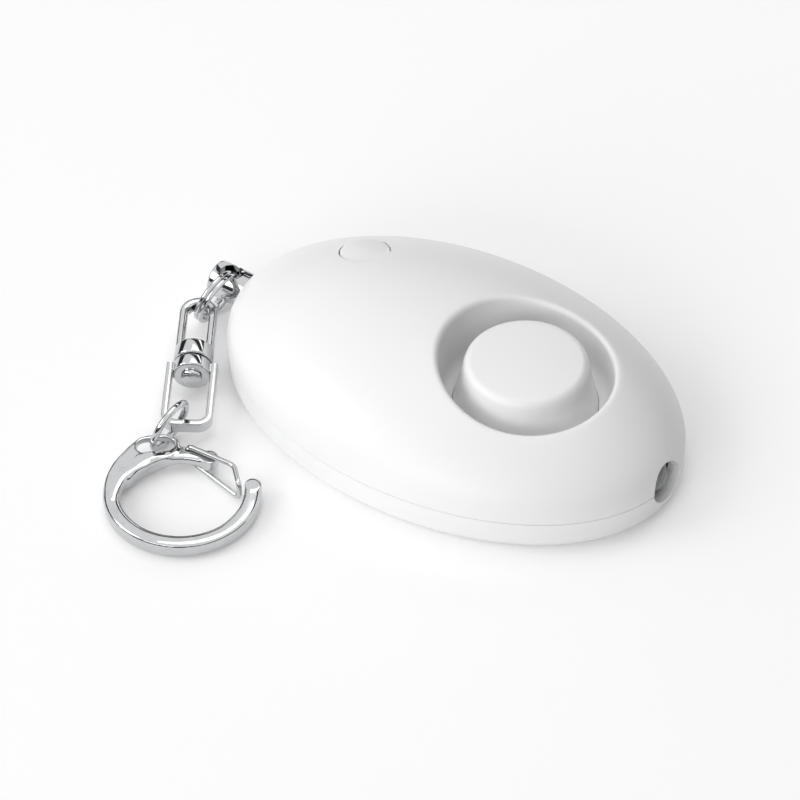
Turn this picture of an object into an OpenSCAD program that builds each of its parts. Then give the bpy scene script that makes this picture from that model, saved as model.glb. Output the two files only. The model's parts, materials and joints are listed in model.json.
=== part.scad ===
// Personal safety alarm: an egg-shaped siren case with a torch, a pull pin and a key chain

/* [Case] */
// Length of the case
case_l = 65; // [64:0.5:70]
// Width of the case
case_w = 43; // [42:0.5:48]
// Height of the case
case_h = 16; // [15.75:0.25:18]
// Height of the parting line above the table
part_z = 4.6; // [4.5:0.1:5]
// Wall of both shells
wall = 1.6; // [1.3:0.1:1.8]
// Floor of the lower shell
floor_t = 1.2; // [1:0.1:1.4]
// Rounding of the lower shell's bottom edge
edge_r = 2; // [1:0.1:2.6]
// Height of the lip that locates the two shells
lip_h = 0.8; // [0.5:0.1:1]
// Thickness of the locating lip
lip_t = 0.8; // [0.6:0.1:1]
// Clearance between pieces that locate in each other
fit = 0.1; // [0.05:0.01:0.15]

/* [Siren] */
// Distance of the siren well from the middle of the case
well_x = 11; // [10.5:0.25:11.5]
// Radius of the siren well
well_r = 11.2; // [11:0.1:11.5]
// Wall of the well's tube
well_wall = 1.2; // [1:0.1:1.4]
// Height of the well's floor
well_z = 7.2; // [7:0.1:7.6]
// Thickness of the ledge that forms the well's floor
ledge_t = 1.2; // [1:0.1:1.4]
// Radius of the siren cap at the well's floor
cap_base_r = 9.35; // [9:0.05:9.6]
// Radius of the siren cap at its top edge
cap_top_r = 8; // [7.6:0.1:8.4]
// Height of the siren cap's top edge above the table
cap_top_z = 14.6; // [14:0.1:15.4]
// Rounding of the siren cap's top edge
cap_edge_r = 1.1; // [0.6:0.1:1.4]
// Rise of the siren cap's crown
cap_crown = 0.3; // [0.1:0.05:0.6]
// Wall of the siren cap
cap_wall = 1.2; // [1:0.1:1.5]
// Width of the siren cap's seating flange
cap_flange_w = 1.3; // [1:0.1:1.4]
// Thickness of the siren cap's seating flange
cap_flange_t = 1; // [0.8:0.1:1.2]
// Number of sound windows in the siren cap
window_n = 8; // [4:1:10]
// Width of a sound window
window_w = 3; // [2:0.1:4]
// Height of a sound window
window_h = 1.4; // [1:0.1:2]
// Thickness of the spacer ring over the sounder disc
spacer_t = 0.8; // [0.6:0.1:1]
// Thickness of the brass sounder disc
disc_t = 0.3; // [0.2:0.05:0.4]
// Radius of the ceramic on the sounder disc
ceramic_r = 7.5; // [6:0.1:8.5]
// Thickness of the ceramic
ceramic_t = 0.25; // [0.2:0.05:0.3]
// Width of the ring that carries the sounder disc
seat_w = 1.4; // [1.2:0.1:1.8]

/* [Torch] */
// Height of the lamp's axis above the table
lamp_z = 4.7; // [4.6:0.05:4.9]
// Radius of the lamp
lamp_r = 2.5; // [2.3:0.05:2.6]
// Distance of the lamp's tip behind the end of the case
lamp_back = 0.6; // [0.2:0.1:1]
// Distance of the lamp from the siren
lamp_gap = 1.75; // [1.6:0.05:2]
// Radius of the lamp's collar
lamp_collar_r = 2.9; // [2.7:0.05:3.1]
// Thickness of the lamp's collar
lamp_collar_t = 1; // [0.8:0.1:1.2]
// Radius of the lamp window in the case
lamp_window_r = 3; // [2.8:0.05:3.1]
// Thickness of the rib that carries the lamp
lamp_rib_t = 1.2; // [1:0.1:1.4]
// Thickness of a lamp lead
lead_t = 0.5; // [0.4:0.05:0.6]
// Spacing of the lamp leads
lead_pitch = 2.54; // [2:0.01:3]
// Distance of the torch button from the tail of the case
button_in = 14; // [13.6:0.1:14.4]
// Distance of the torch button from the case's centre line
button_y = 7; // [6.6:0.1:7.2]
// Radius of the torch button
button_r = 3.3; // [3:0.05:3.5]
// Radius of the torch button's domed top
button_dome_r = 16; // [12:0.5:24]
// Lean of the torch button's top
button_lean = 11; // [8:1:14]
// Width of the torch button's flange
button_flange_w = 0.7; // [0.5:0.05:0.8]
// Thickness of the torch button's flange
button_flange_t = 0.7; // [0.5:0.05:0.8]
// Wall of the sleeve that guides the torch button
sleeve_wall = 1.1; // [0.9:0.05:1.3]
// Side of the torch switch
switch_a = 4.5; // [4:0.1:4.8]
// Height of the torch switch
switch_h = 1.5; // [1.3:0.05:1.7]
// Radius of the torch switch's plunger
plunger_r = 1.2; // [1:0.05:1.5]
// Height of the plunger above the torch switch
plunger_h = 0.5; // [0.45:0.05:0.6]

/* [Battery and board] */
// Distance of the cells behind the middle of the case
cell_x = -8; // [-8.4:0.1:-7.8]
// Radius of a button cell
cell_r = 5.8; // [5.6:0.05:5.9]
// Height of a button cell
cell_h = 5.4; // [5.2:0.05:5.5]
// Spacing of the button cells
cell_pitch = 12; // [11.9:0.05:12.2]
// Thickness of the cell contacts
contact_t = 0.3; // [0.2:0.05:0.4]
// Width of the cell contacts
contact_w = 5; // [3:0.1:6]
// Height of the ribs that hold the cells
cell_rib_h = 3; // [2:0.1:4]
// Thickness of the ribs that hold the cells
cell_rib_t = 0.6; // [0.5:0.05:0.7]
// Thickness of the circuit board
board_t = 1.2; // [1:0.1:1.4]
// Gap between the circuit board and the shells
board_gap = 0.6; // [0.5:0.1:1]
// Radius of the boost coil
coil_r = 3; // [2.5:0.1:3.2]
// Height of the boost coil
coil_h = 3.2; // [2.8:0.1:3.4]
// Radius of the chip's resin cap
chip_r = 2.2; // [1.8:0.1:2.4]
// Height of the chip's resin cap
chip_h = 0.9; // [0.6:0.1:1.2]

/* [Screws] */
// Radius of a case screw's shank
screw_r = 0.9; // [0.8:0.05:1]
// Radius of a case screw's head
screw_head_r = 1.9; // [1.7:0.05:2]
// Height of a case screw's head
screw_head_h = 1.2; // [1:0.1:1.3]
// Depth of the screw heads below the bottom face
screw_sink = 0.3; // [0.2:0.05:0.4]
// Height of a case screw's tip above the table
screw_tip_z = 8.2; // [7.6:0.1:8.4]
// Wall round a screw
screw_wall = 1.2; // [1:0.05:1.3]
// Distance of the screws from the ends of the case
screw_in = 7.5; // [7.3:0.1:7.7]
// Distance of the rear screws from the centre line
screw_rear_y = 8.2; // [8.1:0.1:8.4]
// Distance of the front screws from the centre line
screw_front_y = 7.3; // [7.2:0.1:7.6]
// Radius of a board screw's shank
board_screw_r = 0.6; // [0.5:0.05:0.7]
// Radius of a board screw's head
board_screw_head_r = 1.3; // [1.1:0.05:1.4]
// Length of a board screw under its head
board_screw_l = 4; // [3:0.1:4.5]

/* [Pull pin] */
// Height of the pin's axis above the table
pin_z = 3.9; // [3.8:0.05:4]
// Radius of the pin's chrome head
head_r = 2.5; // [2.4:0.05:2.6]
// Length of the head outside the case
head_out = 5.1; // [5:0.1:5.4]
// Length of the head inside the case
head_in = 0.8; // [0.6:0.05:0.9]
// Distance of the cross hole from the head's end
hole_back = 2.25; // [2.2:0.05:2.4]
// Radius of the cross hole
hole_r = 1.5; // [1.45:0.05:1.55]
// Countersink of the cross hole
hole_sink = 0.55; // [0.5:0.05:0.6]
// Chamfer of the head's edges
head_chamfer = 0.25; // [0.1:0.05:0.4]
// Radius of the pin
pin_r = 1.25; // [1.15:0.05:1.3]
// Distance of the pin's tip from the cells
pin_gap = 3.5; // [3.2:0.1:4]
// Length of the pin pressed into its head
pin_press = 1.7; // [1.4:0.1:1.8]
// Depth of the pin's snap groove
groove_d = 0.25; // [0.2:0.05:0.3]
// Width of the pin's snap groove
groove_w = 0.8; // [0.6:0.1:1]
// Distance of the snap groove from the pin's tip
groove_back = 2.6; // [2:0.1:3]
// Distance of the pin's socket from the head
socket_gap = 4.7; // [4.4:0.1:5]
// Distance of the pin's socket from the cells
cell_gap = 2.5; // [2.2:0.1:2.8]
// Width of the pin's socket
socket_w = 6; // [5.4:0.1:6.4]
// Length of the socket's contact leaf
leaf_l = 5.8; // [5:0.1:6.4]
// Height of the socket's contact leaf
leaf_h = 1.7; // [1.4:0.1:1.9]
// Thickness of the socket's contact leaf
leaf_t = 0.25; // [0.2:0.05:0.3]

/* [Split ring] */
// Mean radius of the split ring
split_r = 3.6; // [3.5:0.05:3.65]
// Radius of the split ring's wire
split_wire_r = 0.36; // [0.32:0.01:0.38]
// Overlap of the split ring's two turns
split_overlap = 0.04; // [0.02:0.01:0.08]
// Offset of the split ring in the cross hole
split_off = 0.35; // [0.25:0.05:0.45]
// Lean of the split ring
split_lean = 16; // [10:1:17]
// Heading of the split ring
split_turn = -2; // [-6:1:2]

/* [Swivel] */
// Heading of the swivel
swivel_turn = -59; // [-62:1:-58]
// Slope of the swivel
swivel_slope = 4; // [3:0.5:5]
// Width of the upper loop
loop_w = 5; // [4.8:0.1:5.2]
// Thickness of the upper loop's bar
loop_bar = 1.1; // [0.9:0.05:1.2]
// Depth of the upper loop's bar
loop_d = 1.8; // [1.5:0.1:2]
// Distance of the loop's inner face from the split ring's middle
loop_grip = 0.85; // [0.8:0.05:0.95]
// Distance of the split ring from the swivel's middle
loop_reach = 9.4; // [9:0.1:9.8]
// Radius of the upper drum
drum_r = 2.6; // [2.5:0.05:2.7]
// Height of the upper drum
drum_h = 2.4; // [2:0.1:2.6]
// Radius of the lower drum
low_drum_r = 2.5; // [2.4:0.05:2.6]
// Height of the lower drum
low_drum_h = 1.9; // [1.7:0.1:2.1]
// Gap between the two drums
drum_gap = 0.2; // [0.1:0.05:0.3]
// Chamfer of the drums
drum_chamfer = 0.25; // [0.1:0.05:0.4]
// Width of the stirrup
stirrup_w = 6.7; // [6.5:0.1:7]
// Thickness of the stirrup's strip
stirrup_t = 0.9; // [0.8:0.05:1]
// Depth of the stirrup's strip
stirrup_d = 1.7; // [1.5:0.1:1.8]
// Length of the stirrup from the swivel's middle
stirrup_l = 11; // [10.6:0.1:11.4]
// Outer corner radius of the stirrup
stirrup_r = 2; // [1.6:0.1:2.4]
// Radius of the rivet
rivet_r = 0.8; // [0.7:0.05:0.9]
// Radius of the rivet's head
rivet_head_r = 1.4; // [1.2:0.05:1.5]
// Height of the rivet's head
rivet_head_h = 0.8; // [0.6:0.05:0.9]
// Running clearance of the rivet and of the gate's pivots
run_gap = 0.05; // [0.03:0.01:0.08]

/* [Jump ring] */
// Mean radius of the jump ring
jump_r = 3.4; // [3.3:0.05:3.5]
// Radius of the jump ring's wire
jump_wire_r = 0.48; // [0.42:0.01:0.5]
// Lean of the jump ring
jump_lean = 14; // [10:1:16]
// Distance of the jump ring's middle past the stirrup's bar
jump_past = 1.4; // [1.2:0.05:1.5]
// Sideways place of the jump ring on the stirrup's bar
jump_side = -1.5; // [-1.6:0.1:-1]
// Height of the jump ring above the table
jump_lift = 0.05; // [0.02:0.01:0.1]

/* [Hook] */
// Heading of the hook
hook_turn = 34; // [32:1:36]
// Mean radius of the hook's ring
hook_r = 9; // [8.8:0.05:9.3]
// Radius of the hook's ring section
hook_bar_r = 1.1; // [1:0.05:1.2]
// Height of the hook's ring above the table
hook_lift = 0.15; // [0.1:0.05:0.3]
// Angle of the hook's nose
nose_a = 4; // [0:1:8]
// Radius of the hook's nose
nose_r = 1.3; // [1.2:0.05:1.4]
// Angle where the hook's ring meets its arm
join_a = 140; // [135:1:145]
// Mean radius of the hook's arm
arm_r = 8; // [7.9:0.05:8.2]
// Width of the hook's arm
arm_w = 2.4; // [2.2:0.05:2.6]
// Height of the hook's arm
arm_h = 2.9; // [2.7:0.05:3]
// Angle of the arm's end
arm_end_a = 62; // [60:1:64]
// Angle where the arm steps down for the gate
arm_step_a = 98; // [96:1:102]
// Angle where the arm starts at the ring
arm_start_a = 152; // [148:1:156]
// Rightward and forward offset of the arm's centre
arm_off = [-0.5, -1.5];
// Height of the arm between the gate's legs
arm_thin_h = 1.5; // [1.4:0.05:1.6]
// Length of the eye's opening
eye_l = 4.6; // [4.4:0.1:5]
// Width of the eye's opening
eye_w = 2.4; // [2.3:0.05:2.5]
// Wall of the eye
eye_wall = 0.7; // [0.6:0.05:0.75]
// Height of the eye's wall
eye_h = 1; // [0.9:0.05:1.1]
// Height of the eye's lower face above the table
eye_z = 1.7; // [1.65:0.05:1.8]
// Centre of the eye
eye_at = [-3.6, 7.6];
// Slant of the eye
eye_turn = 4; // [0:1:8]
// Distance of the eye's rim from the jump ring's middle
eye_past = 1; // [0.9:0.05:1.1]
// Place of the jump ring along the eye
eye_side = 0.9; // [0.6:0.1:1]
// Radius of the gate's wire
gate_r = 0.35; // [0.3:0.01:0.38]
// Gap between the gate's legs and the arm
gate_gap = 0.12; // [0.1:0.01:0.2]
// Angle of the gate's pivot on the arm
gate_a = 83; // [81:1:86]
// Distance of the gate's pivot outside the arm's middle
gate_out = 0.55; // [0.4:0.05:0.6]
// Corner of the gate's upper leg
gate_corner = [6.5, 3.5];
// Gap between the closed gate and the hook's nose
gate_stop = 0.35; // [0.3:0.05:0.5]

/* [Hidden] */
$fn = 96;

// Semi-axes of the upper shell's half ellipsoid
half_l = case_l / 2;
half_w = case_w / 2;
dome_h = case_h - part_z;
button_x = button_in - half_l;
screw_x = half_l - screw_in;
over = 1;

// Heights of the siren's stack, from the ledge down
cap_flange_z = well_z - ledge_t - cap_flange_t;
spacer_z = cap_flange_z - spacer_t;
disc_z = spacer_z - disc_t;
ledge_r = cap_base_r + 2 * fit;
flange_r = ledge_r + cap_flange_w;

// The lamp fills the room between the siren and the nose
lamp_l = half_l - lamp_back - well_x - flange_r - lamp_gap;

// Heights of the board and the parts on it, from the cells up
cell_z = floor_t + contact_t;
board_top = cell_z + cell_h;
board_z = board_top - board_t;
plunger_z = board_top + switch_h;
flange_z = plunger_z + plunger_h;
sleeve_z = flange_z + button_flange_t + fit / 2;

// Slope of the dome under the torch button
button_rise = dome_h * sqrt(1 - pow(button_x / half_l, 2) - pow(button_y / half_w, 2));
button_head = [button_x / pow(half_l, 2), button_y / pow(half_w, 2)];
button_dir = button_head / norm(button_head);

// Places of the case and board screws
screws = [[-screw_x, -screw_rear_y], [-screw_x, screw_rear_y], [screw_x, -screw_front_y], [screw_x, screw_front_y]];
boss_r = screw_r + screw_wall;
board_post_r = board_screw_r + 1;
board_screw_x = cell_x - cell_r - 4.2;
board_screw_y = 12.6;
board_edge_x = cell_x - cell_r - cell_rib_t;

// Ends of the pin's head and shank
head_end = -half_l - head_out;
head_face = -half_l + head_in;
hole_x = head_end + hole_back;
shank_end = cell_x - cell_r - cell_rib_t - pin_gap;
pin_l = shank_end - head_face;
socket_x = head_face + socket_gap;
socket_l = cell_x - cell_r - cell_rib_t - cell_gap - socket_x;

// Vector of length one
function unit(v) = v / norm(v);

// Rotation of a flat vector about the vertical
function turn(v, a) = [v[0] * cos(a) - v[1] * sin(a), v[0] * sin(a) + v[1] * cos(a)];

// The split ring runs from the cross hole to the loop
split_from = [hole_x, split_off, pin_z];
split_way = turn([0, -split_r], split_turn);
split_mid = split_from + [split_way[0], split_way[1], 0];
split_far = split_mid + [split_way[0], split_way[1], 0];

// The swivel's axis runs down the chain
swivel_flat = turn([cos(swivel_slope), 0], swivel_turn);
swivel_way = [swivel_flat[0], swivel_flat[1], -sin(swivel_slope)];
swivel_mid = split_far + loop_reach * swivel_way;
swivel_side = turn([0, 1], swivel_turn);
loop_top = loop_reach + loop_grip + loop_bar;

// The jump ring hangs between the stirrup's bar and the hook's eye
bar_mid = swivel_mid + (stirrup_l - stirrup_t / 2) * swivel_way + jump_side * [swivel_side[0], swivel_side[1], 0];
jump_z = (jump_r + jump_wire_r) * cos(jump_lean) + jump_lift;
jump_mid = [bar_mid[0] - (bar_mid[2] - jump_z) * tan(jump_lean), bar_mid[1] - jump_past, jump_z];

// The hook's frame hangs from the jump ring
eye_rim_z = eye_z + eye_h / 2;
rim_at = [jump_mid[0] + (eye_rim_z - jump_z) * tan(jump_lean), jump_mid[1] - eye_past];
rim_local = eye_at + turn([eye_side, (eye_w + eye_wall) / 2], eye_turn);
hook_mid = rim_at - turn(rim_local, hook_turn);
hook_z = hook_lift + hook_bar_r;
arm_z = hook_lift + 0.1;
arm_thin_z = arm_z + (arm_h - arm_thin_h) / 2;
gate_pivot = arm_off + (arm_r + gate_out) * [cos(gate_a), sin(gate_a)];
gate_top = arm_thin_z + arm_thin_h + gate_gap + gate_r;
gate_low = arm_thin_z - gate_gap - gate_r;
gate_pin = 0.5;
gate_end = [hook_r - hook_bar_r - gate_r - gate_stop, 0.2];

// Half ellipsoid of the upper shell, drawn whole
module egg(inset) {
    translate([0, 0, part_z])
        scale([half_l - inset, half_w - inset, dome_h - inset])
            rotate([0, 90, 0])
                sphere(r = 1);
}

// Cylinder along X from a point
module rod_x(from, to, r) {
    translate([from, 0, 0])
        rotate([0, 90, 0])
            cylinder(r = r, h = to - from);
}

// Flat outline of a strip between two points, run on past both by half its width
module strip(a, b, r) {
    u = unit(b - a) * r;
    n = [-u[1], u[0]];
    polygon([a - u + n, b + u + n, b + u - n, a - u - n]);
}

// Flat outline of a strip with one corner, run on past both ends by half its width
module corner_strip(a, c, b, r) {
    u = unit(c - a) * r;
    w = unit(b - c) * r;
    n = [-u[1], u[0]];
    k = [-w[1], w[0]];
    m = (n + k) / (1 + n * k / r / r);
    polygon([a - u + n, c + m, b + w + k, b + w - k, c - m, a - u - n]);
}

// Flat shape with long straight sides and round ends
module obround(l, w) {
    square([l - w, w], center = true);
    for (s = [-1, 1])
        translate([s * (l - w) / 2, 0])
            circle(r = w / 2);
}

// Rectangle with rounded corners, standing on the X axis
module round_section(w, h, r) {
    translate([-w / 2, r])
        square([w, h - 2 * r]);
    translate([r - w / 2, 0])
        square([w - 2 * r, h]);
    for (x = [-1, 1], y = [r, h - r])
        translate([x * (w / 2 - r), y])
            circle(r = r);
}

// Openings that both shells share: the lamp window and the pin's hole
module shared_openings() {
    translate([0, 0, lamp_z])
        rod_x(half_l - lamp_l, half_l + over, lamp_window_r);
    translate([0, 0, pin_z]) {
        rod_x(head_end, head_face + fit, head_r + 1.5 * fit);
        rod_x(head_end, socket_x, pin_r + fit);
    }
}

module top_shell() {
    color("white")
        difference() {
            intersection() {
                egg(0);
                union() {
                    difference() {
                        translate([-case_l, -case_w, part_z])
                            cube([2 * case_l, 2 * case_w, case_h]);
                        egg(wall);
                    }
                    translate([well_x, 0, well_z - ledge_t])
                        cylinder(r = well_r + well_wall, h = case_h);
                    translate([button_x, button_y, sleeve_z])
                        cylinder(r = button_r + 1.5 * fit + sleeve_wall, h = case_h);
                    for (p = screws)
                        translate([p[0], p[1], part_z])
                            cylinder(r = boss_r, h = case_h);
                }
            }
            translate([well_x, 0, well_z])
                cylinder(r = well_r, h = case_h);
            translate([well_x, 0, part_z])
                cylinder(r = ledge_r, h = case_h);
            translate([button_x, button_y, part_z])
                cylinder(r = button_r + 1.5 * fit, h = case_h);
            for (p = screws)
                translate([p[0], p[1], part_z - over])
                    cylinder(r = screw_r, h = screw_tip_z + 0.2 - part_z + over);
            shared_openings();
        }
}

// Outside of the lower shell, drawn round and then squeezed to the case's width
module tray() {
    scale([1, case_w / case_l, 1])
        rotate_extrude() {
            square([half_l - edge_r, part_z]);
            translate([0, edge_r])
                square([half_l, part_z - edge_r]);
            translate([half_l - edge_r, edge_r])
                circle(r = edge_r);
        }
}

// Elliptical block that follows the case's outline at a distance
module oval(inset, h) {
    linear_extrude(height = h)
        scale([half_l - inset, half_w - inset])
            circle(r = 1);
}

module base_shell() {
    color("white")
        difference() {
            union() {
                difference() {
                    tray();
                    translate([0, 0, floor_t])
                        oval(wall, case_h);
                }
                difference() {
                    translate([0, 0, floor_t])
                        oval(wall - lip_t / 2, part_z + lip_h - floor_t);
                    oval(wall + lip_t, case_h);
                    for (p = screws)
                        translate([p[0], p[1], part_z])
                            cylinder(r = boss_r + 2 * fit, h = case_h);
                    difference() {
                        translate([0, 0, part_z])
                            oval(-over, case_h);
                        translate([0, 0, part_z - over])
                            oval(wall + 2 * fit, case_h);
                    }
                }
                for (p = screws)
                    translate(p)
                        cylinder(r = screw_head_r + fit + screw_wall, h = part_z);
                translate([well_x, 0, 0])
                    cylinder(r = flange_r, h = disc_z);
                translate([half_l - lamp_back - lamp_l + lamp_collar_t + 2 * fit, -lamp_window_r, 0])
                    cube([lamp_rib_t, 2 * lamp_window_r, lamp_z]);
                for (s = [-1, 1])
                    translate([cell_x + s * (cell_r + fit + cell_rib_t / 2), 0, cell_rib_h / 2 + floor_t / 2])
                        cube([cell_rib_t, 2 * cell_pitch + cell_r, cell_rib_h + floor_t], center = true);
                for (s = [-1, 1])
                    translate([board_screw_x, s * board_screw_y, 0])
                        cylinder(r = board_post_r, h = board_z);
            }
            translate([well_x, 0, floor_t])
                cylinder(r = flange_r - seat_w, h = case_h);
            for (p = screws) {
                translate([p[0], p[1], -over])
                    cylinder(r = screw_head_r + fit, h = screw_sink + screw_head_h + over);
                translate([p[0], p[1], -over])
                    cylinder(r = screw_r + fit, h = case_h);
            }
            for (s = [-1, 1])
                translate([board_screw_x, s * board_screw_y, board_top - board_t - board_screw_l])
                    cylinder(r = board_screw_r, h = board_screw_l + over);
            translate([0, 0, lamp_z])
                rod_x(0, half_l, lamp_r + fit / 2);
            shared_openings();
        }
}

module siren_cap() {
    mid_z = well_z - ledge_t;
    color("white")
        translate([well_x, 0, 0])
            difference() {
                rotate_extrude()
                    difference() {
                        union() {
                            translate([0, cap_flange_z])
                                square([flange_r, cap_flange_t]);
                            polygon([[0, mid_z - over / 2], [cap_base_r, mid_z - over / 2], [cap_base_r, well_z],
                                [cap_top_r, cap_top_z - cap_edge_r], [cap_top_r - cap_edge_r, cap_top_z],
                                [0, cap_top_z + cap_crown]]);
                            translate([cap_top_r - cap_edge_r, cap_top_z - cap_edge_r])
                                circle(r = cap_edge_r);
                        }
                        polygon([[-over, cap_flange_z - over], [cap_base_r - cap_wall, cap_flange_z - over],
                            [cap_base_r - cap_wall, well_z], [cap_top_r - cap_wall, cap_top_z - cap_wall - cap_edge_r],
                            [-over, cap_top_z - cap_wall]]);
                        translate([-over - case_l, cap_flange_z - over])
                            square([case_l + over, case_h]);
                    }
                for (i = [0:window_n - 1])
                    rotate([0, 0, (i + 0.5) * 360 / window_n])
                        translate([cap_base_r - 2 * cap_wall, -window_w / 2, well_z])
                            cube([3 * cap_wall, window_w, window_h]);
            }
}

module siren_spacer() {
    color("dimgray")
        translate([well_x, 0, spacer_z])
            difference() {
                cylinder(r = flange_r, h = spacer_t);
                translate([0, 0, -over])
                    cylinder(r = flange_r - seat_w, h = spacer_t + 2 * over);
            }
}

module sounder_disc() {
    color("goldenrod")
        translate([well_x, 0, disc_z])
            cylinder(r = flange_r - fit, h = disc_t);
}

module sounder_ceramic() {
    color("ivory")
        translate([well_x, 0, disc_z - ceramic_t])
            cylinder(r = ceramic_r, h = ceramic_t);
}

module lamp() {
    tip = half_l - lamp_back;
    color("lightgray")
        translate([0, 0, lamp_z]) {
            rod_x(tip - lamp_l, tip - lamp_l + lamp_collar_t, lamp_collar_r);
            rod_x(tip - lamp_l, tip - lamp_r, lamp_r);
            translate([tip - lamp_r, 0, 0])
                sphere(r = lamp_r);
        }
}

module lamp_leads() {
    back = half_l - lamp_back - lamp_l;
    color("silver")
        for (s = [-1, 1])
            translate([back - lead_t, s * lead_pitch / 2 - lead_t / 2, floor_t])
                cube([lead_t, lead_t, lamp_z + lead_t / 2 - floor_t]);
}

module torch_button() {
    top = [button_x, button_y, part_z + button_rise];
    lean = [button_dir[0] * sin(button_lean), button_dir[1] * sin(button_lean), cos(button_lean)];
    color("white") {
        intersection() {
            translate([button_x, button_y, flange_z])
                cylinder(r = button_r, h = case_h);
            translate(top - button_dome_r * lean)
                sphere(r = button_dome_r);
        }
        translate([button_x, button_y, flange_z])
            cylinder(r = button_r + button_flange_w, h = button_flange_t);
    }
}

module switch_plunger() {
    color("black")
        translate([button_x, button_y, plunger_z - plunger_h])
            cylinder(r = plunger_r, h = 2 * plunger_h);
}

module torch_switch() {
    color("silver")
        difference() {
            translate([button_x - switch_a / 2, button_y - switch_a / 2, board_top])
                cube([switch_a, switch_a, switch_h]);
            translate([button_x, button_y, plunger_z - 2 * plunger_h])
                cylinder(r = plunger_r + fit, h = 2 * plunger_h + over);
        }
}

module circuit_board() {
    color("darkgreen")
        difference() {
            translate([0, 0, board_z])
                linear_extrude(height = board_t)
                    intersection() {
                        scale([half_l - wall - 2 * board_gap, half_w - wall - 2 * board_gap])
                            circle(r = 1);
                        translate([-case_l, -case_w])
                            square([case_l + board_edge_x, 2 * case_w]);
                    }
            for (p = screws)
                translate([p[0], p[1], 0])
                    cylinder(r = boss_r + board_gap, h = case_h);
            for (s = [-1, 1])
                translate([board_screw_x, s * board_screw_y, 0])
                    cylinder(r = board_screw_r + fit, h = case_h);
        }
}

module boost_coil() {
    rim = 0.6;
    color("saddlebrown")
        translate([button_x + 1, -5.5, board_top])
            rotate_extrude() {
                square([coil_r, rim]);
                square([coil_r - rim, coil_h]);
                translate([0, coil_h - rim])
                    square([coil_r, rim]);
            }
}

module control_chip() {
    color("black")
        translate([-screw_x + 1, 0, board_top])
            intersection() {
                cylinder(r = chip_r, h = chip_h);
                translate([0, 0, chip_h - chip_r * 1.6])
                    sphere(r = chip_r * 1.6);
            }
}

module button_cells() {
    color("silver")
        for (i = [-1:1])
            translate([cell_x, i * cell_pitch, cell_z])
                cylinder(r = cell_r, h = cell_h);
}

// A contact strip under or over the cells from one cell's row to another
module contact_strip(from, to, reach) {
    translate([cell_x - reach, from * cell_pitch - contact_w / 2, 0])
        cube([reach + contact_w / 2, (to - from) * cell_pitch + contact_w, contact_t]);
}

module cell_contacts_lower() {
    color("gold")
        translate([0, 0, floor_t]) {
            contact_strip(0, 1, contact_w / 2);
            contact_strip(-1, -1, contact_w / 2);
        }
}

module cell_contacts_upper() {
    color("gold")
        translate([0, 0, board_top]) {
            contact_strip(-1, 0, contact_w / 2);
            contact_strip(1, 1, cell_r + cell_rib_t + over);
        }
}

module case_screws() {
    color("silver")
        for (p = screws)
            translate([p[0], p[1], screw_sink]) {
                cylinder(r = screw_head_r, h = screw_head_h);
                cylinder(r = screw_r, h = screw_tip_z - screw_sink);
            }
}

module board_screws() {
    color("silver")
        for (s = [-1, 1])
            translate([board_screw_x, s * board_screw_y, 0]) {
                translate([0, 0, board_top])
                    cylinder(r = board_screw_head_r, h = 0.8);
                translate([0, 0, board_z - board_screw_l + fit])
                    cylinder(r = board_screw_r, h = board_screw_l + board_t);
            }
}

module pin_socket() {
    color("black")
        difference() {
            translate([socket_x, -socket_w / 2, floor_t])
                cube([socket_l, socket_w, board_z - floor_t]);
            translate([0, 0, pin_z])
                rod_x(socket_x - over, socket_x + socket_l + over, pin_r + fit);
            translate([socket_x + (socket_l - leaf_l) / 2 - fit / 2, pin_r / 2, pin_z - leaf_h / 2 - fit / 2])
                cube([leaf_l + fit, pin_r / 2 + fit + leaf_t + fit / 2, leaf_h + fit]);
        }
}

module socket_contact() {
    color("gold")
        translate([socket_x + (socket_l - leaf_l) / 2, pin_r + fit, pin_z - leaf_h / 2])
            cube([leaf_l, leaf_t, leaf_h]);
}

module pin_head() {
    c = head_chamfer;
    color("silver")
        difference() {
            translate([head_end, 0, pin_z])
                rotate([0, 90, 0])
                    rotate_extrude()
                        polygon([[0, 0], [head_r - c, 0], [head_r, c], [head_r, head_face - head_end - c],
                            [head_r - c, head_face - head_end], [0, head_face - head_end]]);
            translate([0, 0, pin_z])
                rod_x(head_face - pin_press, head_face + over, pin_r);
            translate([hole_x, 0, pin_z])
                for (s = [0, 180])
                    rotate([s, 0, 0]) {
                        cylinder(r = hole_r, h = head_r + over);
                        translate([0, 0, head_r - hole_sink])
                            cylinder(r1 = hole_r, r2 = hole_r + hole_sink + over, h = hole_sink + over);
                    }
        }
}

module pin_shank() {
    c = pin_r / 2;
    color("silver")
        translate([0, 0, pin_z])
            difference() {
                translate([head_face - pin_press, 0, 0])
                    rotate([0, 90, 0])
                        rotate_extrude()
                            polygon([[0, 0], [pin_r, 0], [pin_r, pin_press + pin_l - c],
                                [pin_r - c, pin_press + pin_l], [0, pin_press + pin_l]]);
                translate([shank_end - groove_back, 0, 0])
                    rotate([0, 90, 0])
                        difference() {
                            cylinder(r = pin_r + over, h = groove_w);
                            cylinder(r = pin_r - groove_d, h = groove_w);
                        }
            }
}

module split_ring() {
    step = split_wire_r - split_overlap / 2;
    color("silver")
        translate(split_mid)
            rotate([0, 0, split_turn])
                rotate([0, split_lean, 0])
                    rotate([0, 90, 0])
                        rotate_extrude()
                            for (s = [-1, 1])
                                translate([split_r, s * step])
                                    circle(r = split_wire_r);
}

// Frame of the swivel: X runs down the chain and Z is square to its loops
module on_swivel() {
    translate(swivel_mid)
        rotate([0, swivel_slope, swivel_turn])
            children();
}

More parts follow.
